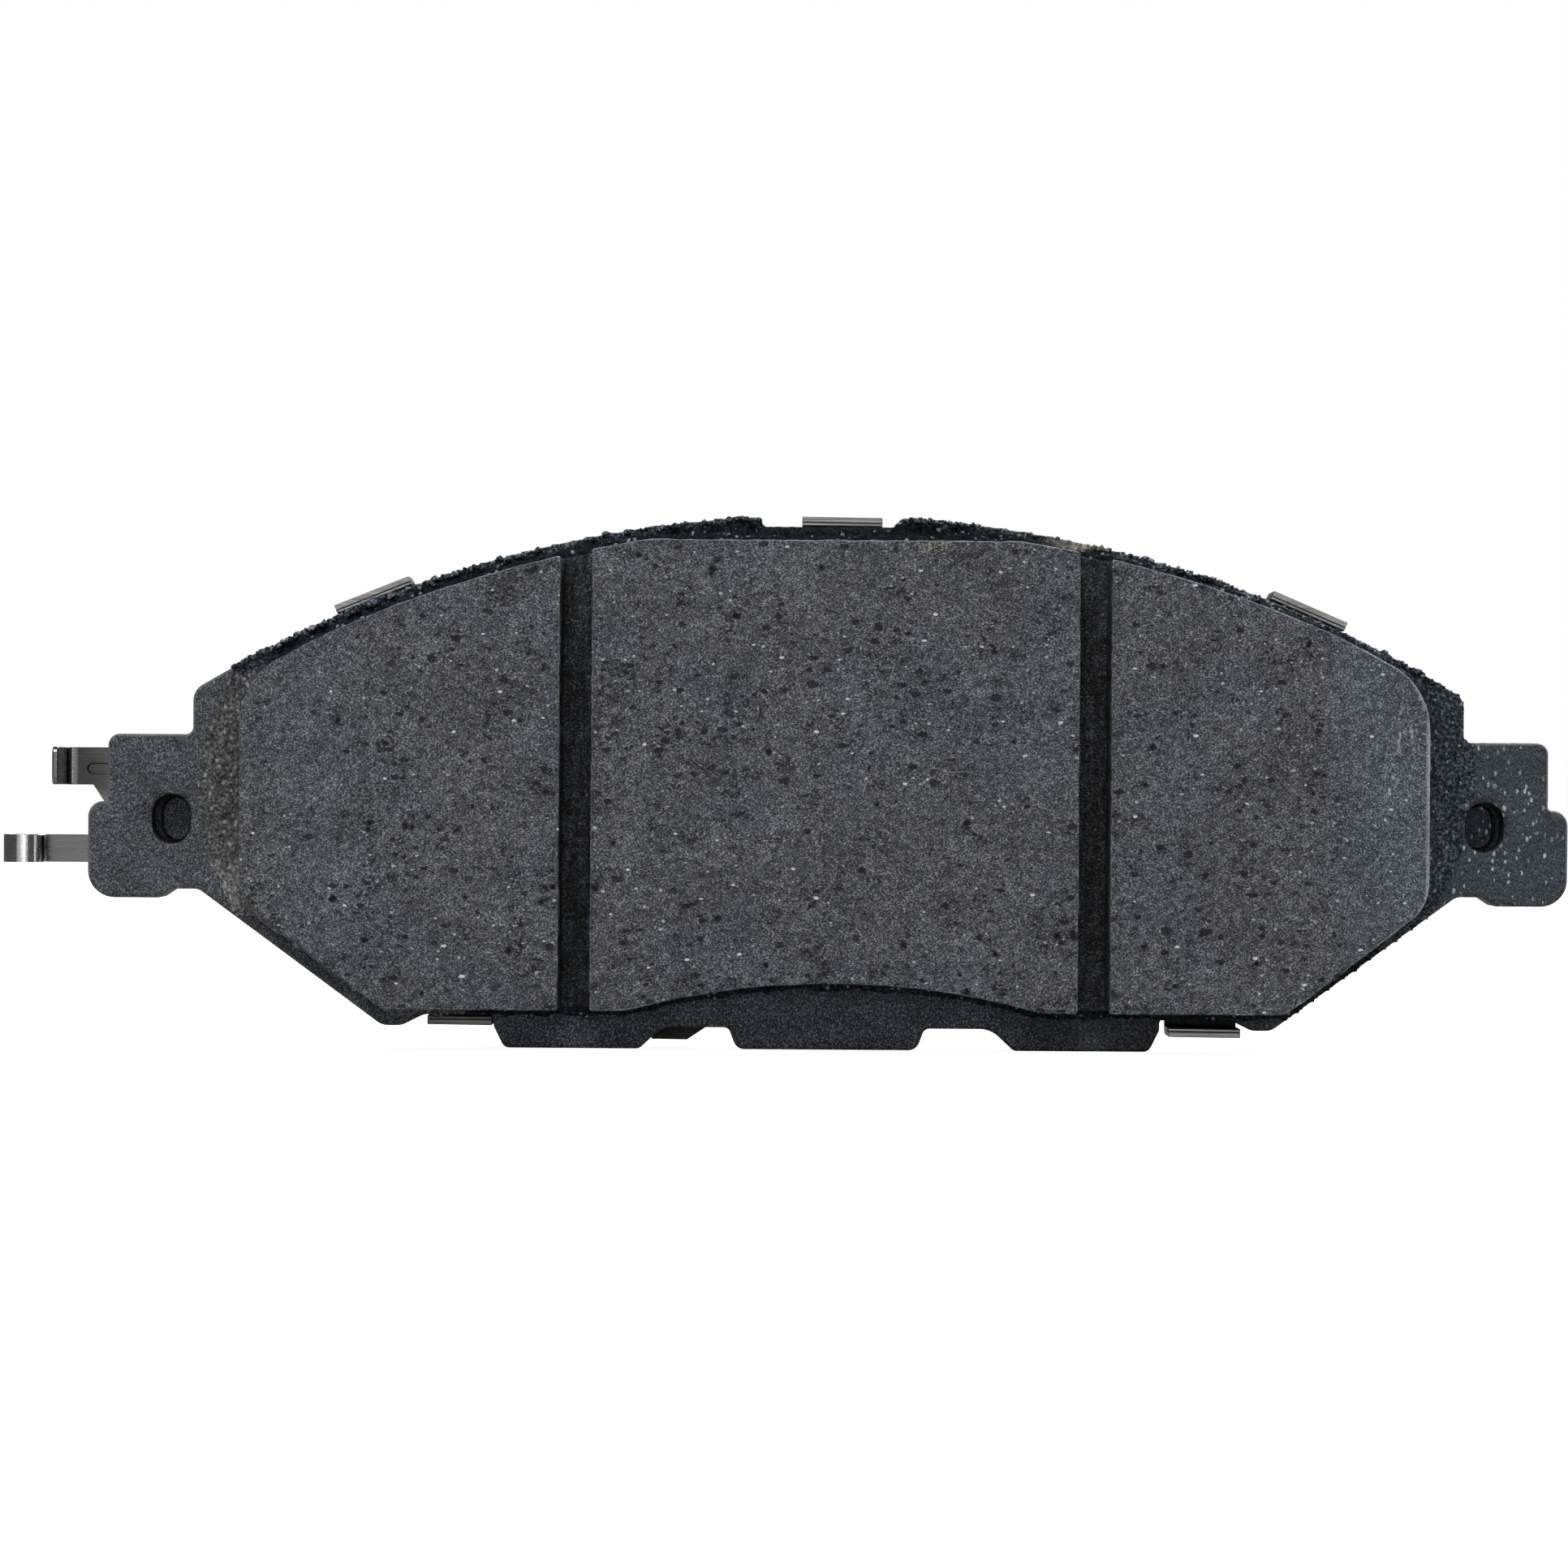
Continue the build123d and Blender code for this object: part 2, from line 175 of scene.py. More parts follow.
# ---- effects that several materials share ----
def make_grain():
    """Pressed or cast grain: an uneven tone and a matching height."""
    tree, given, result = new_group("grain", {"Place": None, "Fineness": 4.0}, ["Tone", "Height"])
    fine = noise_of(tree, given["Place"], given["Fineness"], 3.0, 0.65).outputs["Fac"]
    coarse_scale = math_of(tree, "MULTIPLY", given["Fineness"], 0.22)
    coarse = noise_of(tree, given["Place"], coarse_scale, 2.0, 0.5).outputs["Fac"]
    broad_scale = math_of(tree, "MULTIPLY", given["Fineness"], 0.03)
    broad = noise_of(tree, given["Place"], broad_scale, 1.0, 0.5).outputs["Fac"]
    tone = math_of(tree, "MULTIPLY_ADD", fine, 0.78, math_of(tree, "MULTIPLY", coarse, 0.16))
    tree.links.new(math_of(tree, "MULTIPLY_ADD", broad, 0.06, tone), result["Tone"])
    height = math_of(tree, "MULTIPLY_ADD", coarse, 0.6, fine)
    tree.links.new(height, result["Height"])
    return tree


def make_specks():
    """Scattered spots of uneven outline: 1 inside a spot, 0 outside."""
    tree, given, result = new_group(
        "specks", {"Place": None, "Spacing": 1.0, "Size": 0.2, "Share": 0.3}, ["Spot", "Rim"])
    scale = math_of(tree, "DIVIDE", 1.0, given["Spacing"])
    wobble = noise_of(tree, given["Place"], math_of(tree, "MULTIPLY", scale, 3.0), 1.0)
    nudge = put(tree, "VectorMath", {0: wobble.outputs["Color"], 1: (-0.5, -0.5, -0.5)},
                operation="ADD").outputs[0]
    nudge = put(tree, "VectorMath", {0: nudge, "Scale": given["Size"]},
                operation="SCALE").outputs[0]
    place = put(tree, "VectorMath", {0: given["Place"], 1: nudge}, operation="ADD").outputs[0]
    cells = put(tree, "TexVoronoi", {"Vector": place, "Scale": scale, "Randomness": 1.0})
    draw = put(tree, "SeparateColor", {"Color": cells.outputs["Color"]}).outputs
    chosen = math_of(tree, "LESS_THAN", draw["Red"], given["Share"])
    radius = math_of(tree, "MULTIPLY", draw["Green"], given["Size"])
    radius = math_of(tree, "MULTIPLY", radius, scale)
    inside = math_of(tree, "SUBTRACT", radius, cells.outputs["Distance"])
    spot = band(tree, math_of(tree, "DIVIDE", inside, radius), 0.0, 0.16)
    tree.links.new(math_of(tree, "MULTIPLY", spot, chosen), result["Spot"])
    rim = band(tree, math_of(tree, "ABSOLUTE", math_of(tree, "DIVIDE", inside, radius)), 0.35, 0.0)
    tree.links.new(math_of(tree, "MULTIPLY", rim, chosen), result["Rim"])
    return tree


def make_hairlines():
    """Short dark curved marks where grains have torn out: 1 on a mark, 0 elsewhere."""
    tree, given, result = new_group("hairlines", {"Place": None, "Fineness": 1.5}, ["Mark"])
    field = noise_of(tree, given["Place"], given["Fineness"], 2.5, 0.6).outputs["Fac"]
    from_middle = math_of(tree, "ABSOLUTE", math_of(tree, "SUBTRACT", field, 0.5))
    line = band(tree, from_middle, 0.035, 0.015)
    patch_scale = math_of(tree, "MULTIPLY", given["Fineness"], 0.42)
    shifted = put(tree, "Mapping", {"Vector": given["Place"],
                                    "Location": (17, 5, 9)}).outputs["Vector"]
    patch = band(tree, noise_of(tree, shifted, patch_scale, 1.0).outputs["Fac"], 0.52, 0.62)
    tree.links.new(math_of(tree, "MULTIPLY", line, patch), result["Mark"])
    return tree


def make_orange_peel():
    """The dimpled skin of a baked powder coat."""
    tree, given, result = new_group("orange_peel", {"Place": None, "Fineness": 1.0},
                                    ["Tone", "Height"])
    broad_scale = math_of(tree, "MULTIPLY", given["Fineness"], 1.6)
    broad = noise_of(tree, given["Place"], broad_scale, 1.0)
    fine_scale = math_of(tree, "MULTIPLY", given["Fineness"], 5.5)
    fine = noise_of(tree, given["Place"], fine_scale, 2.0, 0.6)
    tree.links.new(fine.outputs["Fac"], result["Tone"])
    height = math_of(tree, "MULTIPLY_ADD", fine.outputs["Fac"], 0.45, broad.outputs["Fac"])
    tree.links.new(height, result["Height"])
    return tree


def make_brushing():
    """Fine rolling lines of a sheet, along the place's first axis."""
    tree, given, result = new_group("brushing", {"Place": None, "Fineness": 8.0},
                                    ["Tone", "Height"])
    along = stretched(tree, given["Place"], (0.012, 1, 1))
    lines = noise_of(tree, along, given["Fineness"], 2.0, 0.6).outputs["Fac"]
    cloud = noise_of(tree, given["Place"], 0.05, 2.0).outputs["Fac"]
    tree.links.new(math_of(tree, "MULTIPLY_ADD", lines, 0.8, math_of(tree, "MULTIPLY", cloud, 0.2)),
                   result["Tone"])
    tree.links.new(lines, result["Height"])
    return tree


grain = make_grain()
specks = make_specks()
hairlines = make_hairlines()
orange_peel = make_orange_peel()
brushing = make_brushing()


# ---- materials ----
def new_material(name, **values):
    """A material whose Principled shader has the given constant values."""
    made = bpy.data.materials.new(name)
    made.use_nodes = True
    shader = made.node_tree.nodes["Principled BSDF"]
    for label, value in values.items():
        shader.inputs[label.replace("_", " ")].default_value = value
    return made, made.node_tree, shader.inputs


def in_millimetres(tree):
    """The piece's own coordinates, one unit to a millimetre."""
    own = put(tree, "TexCoord").outputs["Object"]
    return put(tree, "Mapping", {"Vector": own, "Scale": (1000, 1000, 1000)}).outputs["Vector"]


def askew(tree, place, scale=(1, 1, 1)):
    """A place stretched and then turned off the axes, so that a noise shows no lattice."""
    return put(tree, "Mapping", {"Vector": stretched(tree, place, scale),
                                 "Rotation": (0.52, 0.37, 0.81)}).outputs["Vector"]


def attribute(tree, name):
    """A value that paint() has stored on the piece's vertices."""
    return put(tree, "Attribute", attribute_name=name).outputs["Fac"]


def bumped(tree, height, depth, shader, strength=1.0):
    """Let a height in the given depth of relief, in metres, turn the shader's normal."""
    made = put(tree, "Bump", {"Height": height, "Distance": depth, "Strength": strength})
    tree.links.new(made.outputs["Normal"], shader["Normal"])


def ramp(tree, value, stops):
    """A colour ramp from (position, colour) stops."""
    made = put(tree, "ValToRGB", {"Fac": value})
    elements = made.color_ramp.elements
    while len(elements) < len(stops):
        elements.new(0.5)
    for element, (position, colour) in zip(elements, stops):
        element.position = position
        element.color = (*colour, 1)
    return made.outputs["Color"]


def friction_mix():
    """Ground friction mix: fine grey grain, pale fibres, dark pores and grinding lines, with
    painted shade in the pits and grooves and a painted highlight on the upper edges.
    """
    made, tree, shader = new_material("friction_mix", Roughness=0.78, Specular_IOR_Level=0.3)
    place = in_millimetres(tree)
    flat = askew(tree, place, (0.72, 1, 1))
    ground = attribute(tree, "ground")
    moulded = attribute(tree, "moulded")
    base = use(tree, grain, {"Place": flat, "Fineness": 6.5})
    colour = ramp(tree, base["Tone"], [
        (0.37, (0.006, 0.0062, 0.0072)), (0.46, (0.035, 0.036, 0.042)),
        (0.54, (0.080, 0.082, 0.094)), (0.63, (0.28, 0.285, 0.305))])
    patches = noise_of(tree, place, 0.07, 2.0).outputs["Fac"]
    cool = tinted(tree, colour, (0.93, 1.0, 1.05))
    colour = blended(tree, band(tree, patches, 0.5, 0.66, 0.0, 0.8), colour, cool)
    cast = tinted(tree, colour, (1.16, 1.27, 1.35))
    colour = blended(tree, math_of(tree, "MULTIPLY", moulded, 0.9), colour, cast)
    lines = noise_of(tree, stretched(tree, place, (4.3, 1, 0.2)), 1.0, 3.0, 0.6).outputs["Fac"]
    lit = band(tree, lines, 0.3, 0.7, 0.88, 1.1)
    lit = put(tree, "CombineColor", {0: lit, 1: lit, 2: lit}).outputs[0]
    colour = blended(tree, ground, colour, tinted(tree, colour, lit))
    # Painted highlight: the turned edges lightened to grey, where the overhead light would catch
    # them.
    worn = math_of(tree, "MULTIPLY", attribute(tree, "edge"),
                   band(tree, base["Tone"], 0.4, 0.5, 0.5, 1.0))
    colour = blended(tree, worn, colour, (0.42, 0.44, 0.47))
    pores = use(tree, specks, {"Place": flat, "Spacing": 2.0, "Size": 0.5, "Share": 0.4})
    small_pores = use(tree, specks, {"Place": askew(tree, place, (0.6, 1, 1)), "Spacing": 0.8,
                                     "Size": 0.36, "Share": 0.5})
    grains = use(tree, specks, {"Place": askew(tree, place, (0.8, 1, 1)), "Spacing": 2.4,
                                "Size": 0.9, "Share": 0.6})
    torn = noise_of(tree, askew(tree, place), 1.3, 1.0).outputs["Fac"]
    crowd = noise_of(tree, askew(tree, place), 0.32, 1.0).outputs["Fac"]
    crowd = band(tree, crowd, 0.46, 0.56, 0.05, 1.0)
    outline = math_of(tree, "MULTIPLY", grains["Rim"], band(tree, torn, 0.46, 0.54))
    marks = use(tree, hairlines, {"Place": flat, "Fineness": 1.6})["Mark"]
    small = math_of(tree, "MULTIPLY", math_of(tree, "MAXIMUM", small_pores["Spot"], marks), 0.95)
    dark = math_of(tree, "MAXIMUM", math_of(tree, "MULTIPLY", outline, 0.85), small)
    dark = math_of(tree, "MULTIPLY", dark, crowd)
    dark = math_of(tree, "MAXIMUM", dark, math_of(tree, "MULTIPLY", pores["Spot"], 0.85))
    dark = math_of(tree, "MULTIPLY", dark, math_of(tree, "MULTIPLY_ADD", moulded, -0.75, 1.0))
    # Painted shade: each pit turns near black with its depth.
    dark = math_of(tree, "MAXIMUM", dark, attribute(tree, "dent"), clamp=True)
    colour = blended(tree, dark, colour, (0.003, 0.003, 0.0035))
    fibres = use(tree, specks, {"Place": askew(tree, place, (1.0, 1.0, 1.9)), "Spacing": 2.0,
                                "Size": 0.34, "Share": 0.3})
    flecks = use(tree, specks, {"Place": flat, "Spacing": 0.6, "Size": 0.17, "Share": 0.16})
    pale = math_of(tree, "MAXIMUM", math_of(tree, "MULTIPLY", fibres["Spot"], 0.9),
                   math_of(tree, "MULTIPLY", flecks["Spot"], 0.55))
    pale = math_of(tree, "MULTIPLY", pale, math_of(tree, "SUBTRACT", 1.0, dark))
    colour = blended(tree, pale, colour, (0.62, 0.63, 0.64))
    dusty = math_of(tree, "MULTIPLY", math_of(tree, "MULTIPLY", attribute(tree, "dust"), ground),
                    band(tree, base["Tone"], 0.46, 0.54))
    colour = blended(tree, dusty, colour, (0.40, 0.38, 0.33))
    scrape = noise_of(tree, stretched(tree, place, (1.6, 1, 0.7)), 1.0, 3.0, 0.6).outputs["Fac"]
    scuffed = math_of(tree, "MULTIPLY", attribute(tree, "scuff"), band(tree, scrape, 0.54, 0.6))
    colour = blended(tree, scuffed, colour, (0.42, 0.42, 0.42))
    colour = blended(tree, attribute(tree, "warm"), colour,
                     tinted(tree, colour, (1.03, 1.0, 0.94)))
    # Painted shade in the grooves: near black from 2 mm in, thinned a little by streaks, tone and
    # blotches.
    streak = noise_of(tree, stretched(tree, place, (2.2, 1, 0.25)), 1.0, 3.0, 0.6).outputs["Fac"]
    deep = math_of(tree, "MULTIPLY", attribute(tree, "recess"),
                   band(tree, streak, 0.4, 0.66, 1.0, 0.7))
    blotch = noise_of(tree, askew(tree, place), 0.42, 2.0).outputs["Fac"]
    deep = math_of(tree, "MULTIPLY", deep, band(tree, base["Tone"], 0.48, 0.62, 1.0, 0.72))
    deep = math_of(tree, "MULTIPLY", deep, band(tree, blotch, 0.48, 0.66, 1.0, 0.8))
    colour = blended(tree, deep, colour, (0.003, 0.0029, 0.0026))
    tree.links.new(colour, shader["Base Color"])
    tree.links.new(band(tree, base["Tone"], 0.36, 0.66, 0.86, 0.55), shader["Roughness"])
    bumps = noise_of(tree, askew(tree, place), 1.5, 2.0, 0.6).outputs["Fac"]
    height = math_of(tree, "MULTIPLY_ADD", math_of(tree, "MULTIPLY", moulded, 2.6), bumps,
                     base["Height"])
    height = math_of(tree, "SUBTRACT", height, dark)
    height = math_of(tree, "MULTIPLY_ADD", lines, 0.3, height)
    bumped(tree, height, 0.2 * MM, shader)
    return made


def plate_coat():
    """Black powder coat with orange peel, pale dust specks, a painted highlight on the rims,
    painted shade on the oval walls and painted fill light on the lugs.
    """
    made, tree, shader = new_material("plate_coat", Roughness=0.5)
    place = in_millimetres(tree)
    turned = askew(tree, place)
    skin = use(tree, orange_peel, {"Place": turned, "Fineness": 1.0})
    cloud = noise_of(tree, turned, 0.25, 2.0).outputs["Fac"]
    tone = math_of(tree, "MULTIPLY_ADD", cloud, 0.12, math_of(tree, "MULTIPLY", skin["Tone"], 0.88))
    colour = ramp(tree, tone, [(0.4, (0.003, 0.0035, 0.005)), (0.47, (0.016, 0.018, 0.023)),
                               (0.53, (0.035, 0.039, 0.048)), (0.62, (0.16, 0.172, 0.2))])
    bluer = attribute(tree, "speckled")
    colour = blended(tree, bluer, colour, tinted(tree, colour, (0.36, 0.5, 0.6)))
    # Painted fill light: the lugs, shaded by the block above them, made lighter.
    colour = blended(tree, attribute(tree, "lift"), colour,
                     tinted(tree, colour, (1.75, 1.75, 1.8)))
    dots = use(tree, specks, {"Place": askew(tree, place, (1.5, 1, 0.8)), "Spacing": 0.7,
                              "Size": 0.3, "Share": 0.55})
    dusted = math_of(tree, "MULTIPLY", band(tree, cloud, 0.36, 0.58, 0.3, 1.0),
                     math_of(tree, "MULTIPLY_ADD", bluer, 0.8, 0.12))
    colour = blended(tree, math_of(tree, "MULTIPLY", dots["Spot"], dusted), colour,
                     (0.38, 0.41, 0.44))
    lined = noise_of(tree, stretched(tree, place, (3, 0.5, 3)), 1.0, 2.0, 0.6).outputs["Fac"]
    sheared = attribute(tree, "sheared")
    scored = math_of(tree, "MULTIPLY", sheared, band(tree, lined, 0.45, 0.65, 0.0, 0.6))
    colour = blended(tree, scored, colour, (0.10, 0.105, 0.115))
    # Painted shade: the oval walls near black, darker with depth.
    colour = blended(tree, math_of(tree, "MULTIPLY", attribute(tree, "hollow"), 0.9), colour,
                     (0.004, 0.004, 0.0045))
    # Painted highlight along the rolled front rim.
    colour = blended(tree, math_of(tree, "MULTIPLY", attribute(tree, "rim"), 0.6), colour,
                     (0.13, 0.14, 0.155))
    tree.links.new(colour, shader["Base Color"])
    tree.links.new(band(tree, skin["Tone"], 0.36, 0.66, 0.44, 0.66), shader["Roughness"])
    height = math_of(tree, "MULTIPLY_ADD", math_of(tree, "MULTIPLY", sheared, lined), 1.2,
                     skin["Height"])
    bumped(tree, height, 0.45 * MM, shader)
    return made


def crumbly_mix():
    """Dark, crumbly flash of the underlayer, with a glossy resin skin in places, painted shadow
    below the block, a painted highlight on the crown's outer crumbs and painted fill light at the
    lower left.
    """
    made, tree, shader = new_material("crumbly_mix", Roughness=0.6, Specular_IOR_Level=0.12)
    place = in_millimetres(tree)
    warm = attribute(tree, "warm")
    pale = attribute(tree, "pale")
    base = use(tree, grain, {"Place": askew(tree, place), "Fineness": 3.0})
    colour = ramp(tree, base["Tone"], [
        (0.38, (0.003, 0.0042, 0.0065)), (0.5, (0.018, 0.023, 0.031)), (0.62, (0.1, 0.12, 0.145))])
    # Darker towards the block: on the crown this is the flash's own dark colour; below the block it
    # is painted shadow.
    colour = blended(tree, attribute(tree, "near"), colour,
                     tinted(tree, colour, (0.1, 0.13, 0.17)))
    # Painted highlight: the crumbs at the crown's outer edge lightened.
    outer = math_of(tree, "MULTIPLY", attribute(tree, "outer"),
                    band(tree, base["Tone"], 0.5, 0.6))
    colour = blended(tree, outer, colour, tinted(tree, colour, (2.4, 2.4, 2.4)))
    brown = ramp(tree, base["Tone"], [
        (0.38, (0.016, 0.016, 0.0168)), (0.47, (0.044, 0.044, 0.0455)),
        (0.54, (0.078, 0.0775, 0.0795)), (0.63, (0.17, 0.169, 0.172))])
    colour = blended(tree, warm, colour, brown)
    # Painted fill light: the shaded lower left flash made lighter.
    colour = blended(tree, attribute(tree, "lift"), colour,
                     tinted(tree, colour, (1.9, 1.9, 1.9)))
    dots = use(tree, specks, {"Place": place, "Spacing": 0.7, "Size": 0.34, "Share": 0.34})
    colour = blended(tree, math_of(tree, "MULTIPLY", dots["Spot"], 0.7), colour, (0.28, 0.30, 0.31))
    colour = blended(tree, pale, colour, (0.42, 0.39, 0.31))
    tree.links.new(colour, shader["Base Color"])
    tree.links.new(band(tree, base["Tone"], 0.35, 0.6, 0.8, 0.45), shader["Roughness"])
    bumped(tree, base["Height"], 0.2 * MM, shader)
    return made


def rolled_steel(name, dark, light, fineness, roughness):
    """Bare rolled sheet: fine lines along the piece and a soft cloudy tone, with painted shade and
    painted highlights where the piece asks.
    """
    made, tree, shader = new_material(name, Metallic=1.0, Anisotropic=0.4)
    place = in_millimetres(tree)
    lines = use(tree, brushing, {"Place": place, "Fineness": fineness})
    colour = ramp(tree, lines["Tone"], [(0.3, (dark, dark, dark)), (0.7, (light, light, light))])
    # Painted shade: the metal darkened where the piece asks.
    colour = blended(tree, math_of(tree, "MULTIPLY", attribute(tree, "dull"), 0.9), colour,
                     tinted(tree, colour, (0.25, 0.25, 0.25)))
    # Painted highlight: two bright bands across the spring's curled nose.
    colour = blended(tree, attribute(tree, "polished"), colour, (0.7, 0.7, 0.71))
    tree.links.new(colour, shader["Base Color"])
    tree.links.new(band(tree, lines["Tone"], 0.3, 0.7, roughness + 0.1, roughness - 0.08),
                   shader["Roughness"])
    bumped(tree, lines["Height"], 0.006 * MM, shader)
    return made


def rubber_coating():
    """Matt black rubber on both faces of the inner shim."""
    made, tree, shader = new_material("rubber_coating", Roughness=0.6)
    place = in_millimetres(tree)
    skin = use(tree, grain, {"Place": place, "Fineness": 2.2})
    colour = ramp(tree, skin["Tone"], [(0.3, (0.006, 0.006, 0.0065)), (0.7, (0.02, 0.02, 0.022))])
    tree.links.new(colour, shader["Base Color"])
    tree.links.new(band(tree, skin["Tone"], 0.3, 0.7, 0.7, 0.5), shader["Roughness"])
    bumped(tree, skin["Height"], 0.02 * MM, shader)
    return made


def cured_resin():
    """Brown phenolic film between the plate and the mix."""
    made, tree, shader = new_material("cured_resin", Roughness=0.4)
    place = in_millimetres(tree)
    flow = use(tree, grain, {"Place": place, "Fineness": 1.4})
    colour = ramp(tree, flow["Tone"], [(0.3, (0.035, 0.018, 0.008)), (0.7, (0.12, 0.07, 0.035))])
    tree.links.new(colour, shader["Base Color"])
    tree.links.new(band(tree, flow["Tone"], 0.3, 0.7, 0.5, 0.3), shader["Roughness"])
    bumped(tree, flow["Height"], 0.03 * MM, shader)
    return made


def finish(piece, material):
    """Give the whole piece one material."""
    piece.data.materials.clear()
    piece.data.materials.append(material)
    for face in piece.data.polygons:
        face.material_index = 0


# ---- pieces ----
def merged_copy(name):
    """A CAD node's shape with its loose triangles joined into whole faces."""
    shape = bmesh.new()
    shape.from_mesh(node[name].data)
    bmesh.ops.remove_doubles(shape, verts=shape.verts, dist=0.001 * MM)
    bmesh.ops.dissolve_limit(shape, angle_limit=math.radians(0.4), verts=shape.verts,
                             edges=shape.edges)
    return shape


def slice_along(shape, axis, places, keep_whole):
    """Cut the shape at each place along an axis, but not the faces that stay whole."""
    normal = Vector((0, 0, 0))
    normal[axis] = 1
    for place in places:
        faces = [face for face in shape.faces if not keep_whole(face)]
        bmesh.ops.bisect_plane(shape, geom=shape.verts[:] + shape.edges[:] + faces,
                               plane_co=normal * place, plane_no=normal, dist=1e-7)


def steps(start, end, pitch):
    """Places from start up to end, a pitch apart."""
    return [start + pitch * k for k in range(int((end - start) / pitch) + 1)]


def as_piece(shape, name, body, stands_for, sharp=35):
    """Turn a finished shape into a piece that rides on its body and replaces its node."""
    mesh = bpy.data.meshes.new(name)
    shape.to_mesh(mesh)
    shape.free()
    mesh.shade_smooth()
    mesh.set_sharp_from_angle(angle=math.radians(sharp))
    made = bpy.data.objects.new(name, mesh)
    bpy.context.scene.collection.objects.link(made)
    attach(made, body)
    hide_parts(stands_for)
    return made


def paint(mesh, **looks):
    """Store named values, one per vertex, for the material to read."""
    for name, values in looks.items():
        made = mesh.attributes.new(name, "FLOAT", "POINT")
        made.data.foreach_set("value", values)


def moulded_block():
    """The friction block: ground face, rounded edges with a painted highlight on the upper ones,
    pitted skin and rough grooves.
    """
    draw = random.Random(7)
    shape = merged_copy("friction_block")
    face_y = block_low.y
    rims = [edge for edge in shape.edges
            if edge.calc_face_angle(0) > math.radians(40)
            and min(vert.co.y for vert in edge.verts) < block_high.y - 0.5 * MM]
    bmesh.ops.bevel(shape, geom=rims, offset=0.2 * MM, segments=2, profile=0.5,
                    affect="EDGES", material=-1, clamp_overlap=True)
    at_back = lambda face: face.normal.y > 0.9
    slice_along(shape, 0, steps(block_low.x, block_high.x, skin_pitch), at_back)
    slice_along(shape, 2, steps(block_low.z, block_high.z, skin_pitch), at_back)
    slice_along(shape, 1, steps(block_low.y + 0.6 * MM, block_high.y, 0.9 * MM), at_back)
    skin = BVHTree.FromBMesh(shape)
    pits = []
    x = z = None
    for _ in range(pit_tries):
        last_x, last_z = x, z
        x = draw.uniform(block_low.x + 8 * MM, block_high.x - 11 * MM)
        z = draw.uniform(block_low.z, block_high.z)
        if last_x is not None and draw.random() < 0.45:
            x = last_x + draw.uniform(-1.6, 1.6) * MM
            z = last_z + draw.uniform(-1.2, 1.2) * MM
        radius = (0.16 + 0.36 * draw.random() ** 3) * MM
        depth = draw.uniform(0.3, 0.6) * radius
        if skin.ray_cast(Vector((x, face_y - 5 * MM, z)), Vector((0, 1, 0)))[0]:
            pits.append((x, z, radius, depth))
    cell = 3 * MM
    near = {}
    for pit in pits:
        column, row = round(pit[0] / cell), round(pit[1] / cell)
        for i in (-1, 0, 1):
            for j in (-1, 0, 1):
                near.setdefault((column + i, row + j), []).append(pit)

    def pits_at(spot):
        """The pits near a place on the block."""
        return near.get((round(spot.x / cell), round(spot.z / cell)), ())

    def by_a_pit(spot):
        """Whether a place on the face or a chamfer needs a finer mesh for a pit."""
        return spot.y < face_y + chamfer_depth + 0.1 * MM and any(
            math.hypot(spot.x - x, spot.z - z) < radius + 0.45 * MM
            for x, z, radius, _ in pits_at(spot))

    fine = [edge for edge in shape.edges
            if edge.verts[0].normal.y < -0.8 and all(by_a_pit(vert.co) for vert in edge.verts)]
    bmesh.ops.subdivide_edges(shape, edges=fine, cuts=2, use_grid_fill=True)
    shape.normal_update()
    ground, recess, dent, moulded = [], [], [], []
    scuff, dust, warm, edge = [], [], [], []
    moves = []
    groove_reach = groove_width / 2 + 0.01 * MM
    chamfer_start = (block_high.x - block_low.x) / 2 - chamfer_length - 0.3 * MM
    for vert in shape.verts:
        spot = vert.co
        away = vert.normal
        mm = spot * 1000
        front = away.y < -0.9 and spot.y < face_y + 0.05 * MM
        from_middle = abs(spot.x - block_middle_x)
        groove = (abs(from_middle - groove_spacing / 2) < groove_reach
                  and spot.y > face_y + 0.3 * MM)
        chamfer = from_middle > chamfer_start and away.y < -0.5
        push = 0.0
        if groove:
            push = 0.2 * MM * noise.noise(mm * 0.9) + 0.14 * MM * noise.noise(mm * 2.3)
        elif chamfer:
            push = 0.05 * MM * noise.noise(mm * 0.8)
        elif not front:
            push = 0.07 * MM * noise.noise(mm * 0.7) + 0.05 * MM * noise.noise(mm * 1.9)
        move = away * push
        sunk = 0.0
        if front or chamfer:
            for x, z, radius, depth in pits_at(spot):
                reach = radius * (1 + 0.6 * noise.noise(Vector((mm.x * 1.9, x * 900, mm.z * 1.9))))
                ratio = math.hypot(spot.x - x, spot.z - z) / reach
                if ratio < 1:
                    sunk = max(sunk, (1 - ratio ** 3) * depth)
        moves.append(move + Vector((0, sunk, 0)))
        ground.append(1.0 if front else 0.0)
        # How far into a groove, for the painted shade there.
        recess.append(min(1.0, (spot.y - face_y) / (2.0 * MM)) if groove else 0.0)
        # How far into a pit, for the painted shade there.
        dent.append(min(1.0, sunk / (0.16 * MM)))
        # Two scrapes on the right chamfer.
        high_scrape = 1.4 - math.hypot((mm.x - 63.2 + 0.25 * (mm.z - 5)) / 1.1, (mm.z - 5.4) / 3)
        low_scrape = 1.3 - math.hypot((mm.x - 61.2) / 0.7, (mm.z - 0.4) / 2)
        scuff.append(clamped(max(high_scrape, low_scrape)))
        # A painted highlight on the turned edges: full on the upper ones and the right end, faint
        # on the lower ones, fading out to the left.
        upper = away.z > 0.15 or spot.x > block_high.x - 6 * MM
        turned = (-0.88 < away.y < -0.4 and not groove
                  and spot.y < face_y + chamfer_depth + 0.2 * MM)
        shown = clamped((mm.x + 58) / 16) * (1.0 if upper else 0.2)
        edge.append(shown * (0.7 + 0.6 * noise.noise(mm * 0.25)) if turned else 0.0)
